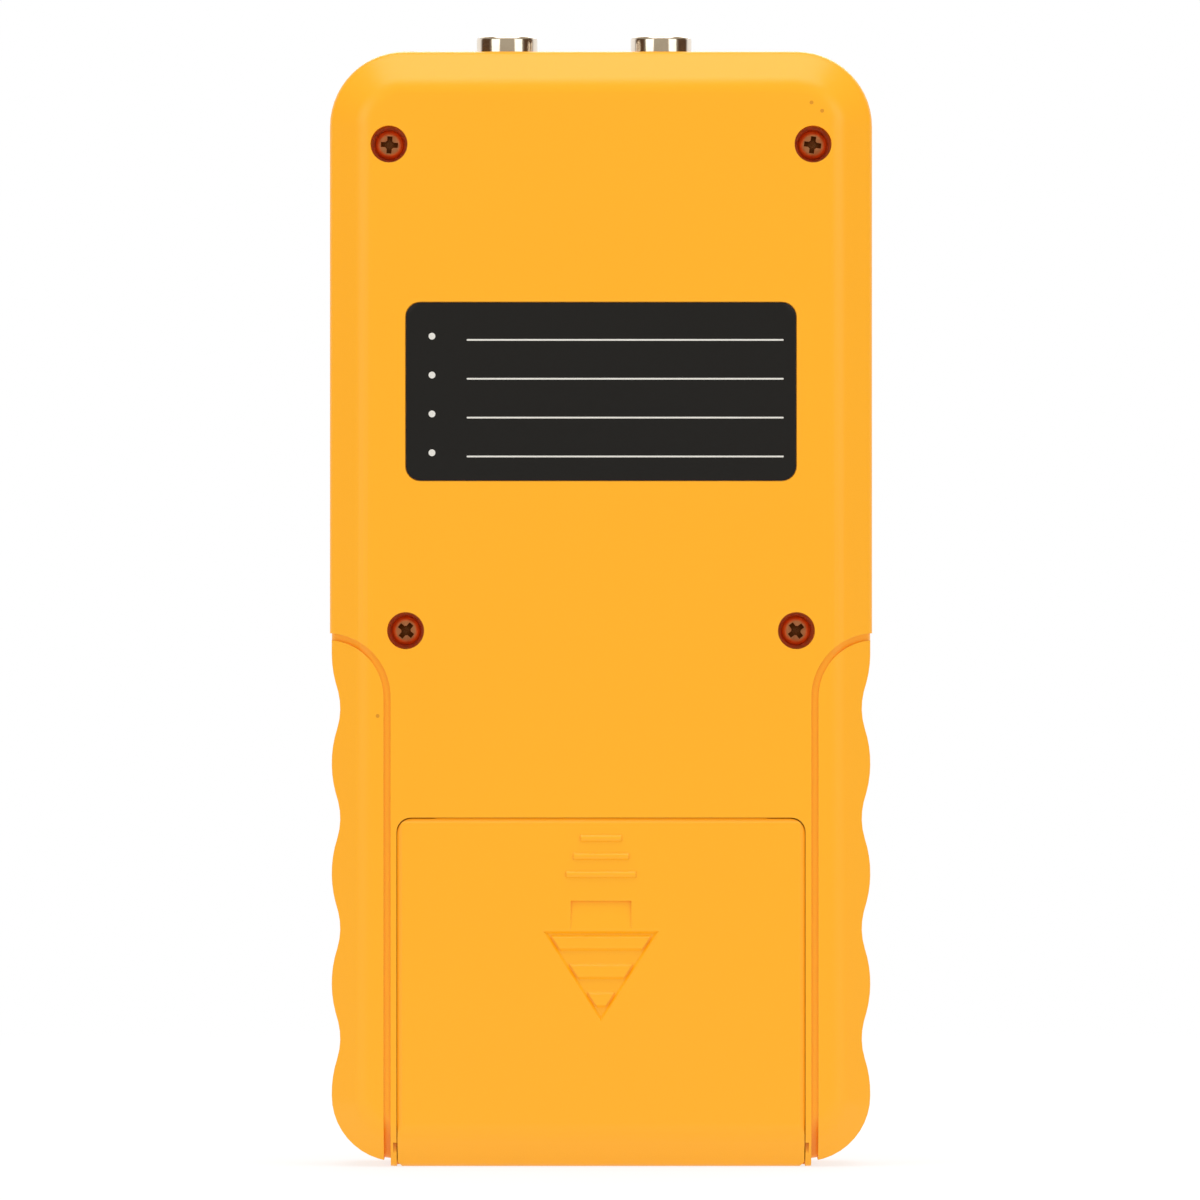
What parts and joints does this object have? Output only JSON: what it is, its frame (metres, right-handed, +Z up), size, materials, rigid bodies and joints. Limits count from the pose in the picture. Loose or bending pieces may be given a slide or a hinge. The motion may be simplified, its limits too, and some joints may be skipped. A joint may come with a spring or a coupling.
{
  "type": "ultrasonic thickness gauge",
  "caption": "Hand-held ultrasonic thickness gauge with scalloped grips, two probe sockets on top, a display and keys in front and a sliding battery cover at the back.",
  "frame": {"origin": "middle of the bottom, where the gauge stands upright", "axes": "+X to the right as seen from the back, -Y the back with the battery cover, +Y the front with the display, +Z up towards the probe sockets"},
  "size_m": [0.072, 0.0294, 0.1501],
  "materials": {
    "case_plastic": "satin moulded yellow",
    "label_film": "matt printed film",
    "screw_steel": "dull plated steel",
    "nickel": "bright nickel plate",
    "gold_contact": "gold plate",
    "insulator_plastic": "waxy white",
    "wire_sleeve": "soft matt sleeve",
    "wire_sleeve_red": "soft matt sleeve",
    "circuit_board": "green solder mask",
    "chip_epoxy": "matt black epoxy",
    "capacitor_can": "plain can",
    "window_plastic": "clear polished",
    "lcd_glass": "grey green display glass",
    "backlight_plastic": "white diffuser",
    "elastomer": "grey elastomer",
    "key_rubber": "soft matt grey",
    "power_key_rubber": "soft matt red",
    "switch_plastic": "black plastic",
    "disc_steel": "turned and polished",
    "cell_sleeve": "printed sleeve, left plain"
  },
  "bodies": {
    "case": {"rear_shell": "case_plastic", "front_shell": "case_plastic", "rating_label": "label_film", "case_screws": "screw_steel", "transmit_socket": "nickel", "receive_socket": "nickel", "transmit_insulator": "insulator_plastic", "receive_insulator": "insulator_plastic", "transmit_contact": "gold_contact", "receive_contact": "gold_contact", "socket_nuts": "nickel", "transmit_lead": "wire_sleeve", "receive_lead": "wire_sleeve", "main_board": "circuit_board", "board_screws": "screw_steel", "microcontroller": "chip_epoxy", "receiver_chip": "chip_epoxy", "pulse_capacitors": "capacitor_can", "crystal_can": "nickel", "display_window": "window_plastic", "lcd_frame": "switch_plastic", "lcd_glass": "lcd_glass", "backlight_panel": "backlight_plastic", "lcd_connector_strips": "elastomer", "key_switches": "switch_plastic", "reference_disc": "disc_steel", "battery_cell_1": "cell_sleeve", "battery_cell_2": "cell_sleeve", "battery_cell_3": "cell_sleeve", "battery_springs": "nickel", "bridge_contacts": "nickel", "terminal_contacts": "nickel", "positive_lead": "wire_sleeve_red", "negative_lead": "wire_sleeve"},
    "cover": {"battery_cover": "case_plastic"},
    "power_button": {"power_key": "power_key_rubber", "power_plunger": "switch_plastic"},
    "velocity_button": {"velocity_key": "key_rubber", "velocity_plunger": "switch_plastic"},
    "calibrate_button": {"calibrate_key": "key_rubber", "calibrate_plunger": "switch_plastic"},
    "up_button": {"up_key": "key_rubber", "up_plunger": "switch_plastic"},
    "down_button": {"down_key": "key_rubber", "down_plunger": "switch_plastic"}
  },
  "joints": [
    {"name": "cover_slide", "type": "slide", "parent": "case", "child": "cover", "axis": [0, 0, -1], "range_m": [0, 0.05]},
    {"name": "power_press", "type": "slide", "parent": "case", "child": "power_button", "axis": [0, -1, 0], "range_m": [0, 0.0006], "stiffness_N_per_m": 800, "springref_m": -0.0003},
    {"name": "velocity_press", "type": "slide", "parent": "case", "child": "velocity_button", "axis": [0, -1, 0], "range_m": [0, 0.0006], "stiffness_N_per_m": 800, "springref_m": -0.0003},
    {"name": "calibrate_press", "type": "slide", "parent": "case", "child": "calibrate_button", "axis": [0, -1, 0], "range_m": [0, 0.0006], "stiffness_N_per_m": 800, "springref_m": -0.0003},
    {"name": "up_press", "type": "slide", "parent": "case", "child": "up_button", "axis": [0, -1, 0], "range_m": [0, 0.0006], "stiffness_N_per_m": 800, "springref_m": -0.0003},
    {"name": "down_press", "type": "slide", "parent": "case", "child": "down_button", "axis": [0, -1, 0], "range_m": [0, 0.0006], "stiffness_N_per_m": 800, "springref_m": -0.0003}
  ]
}
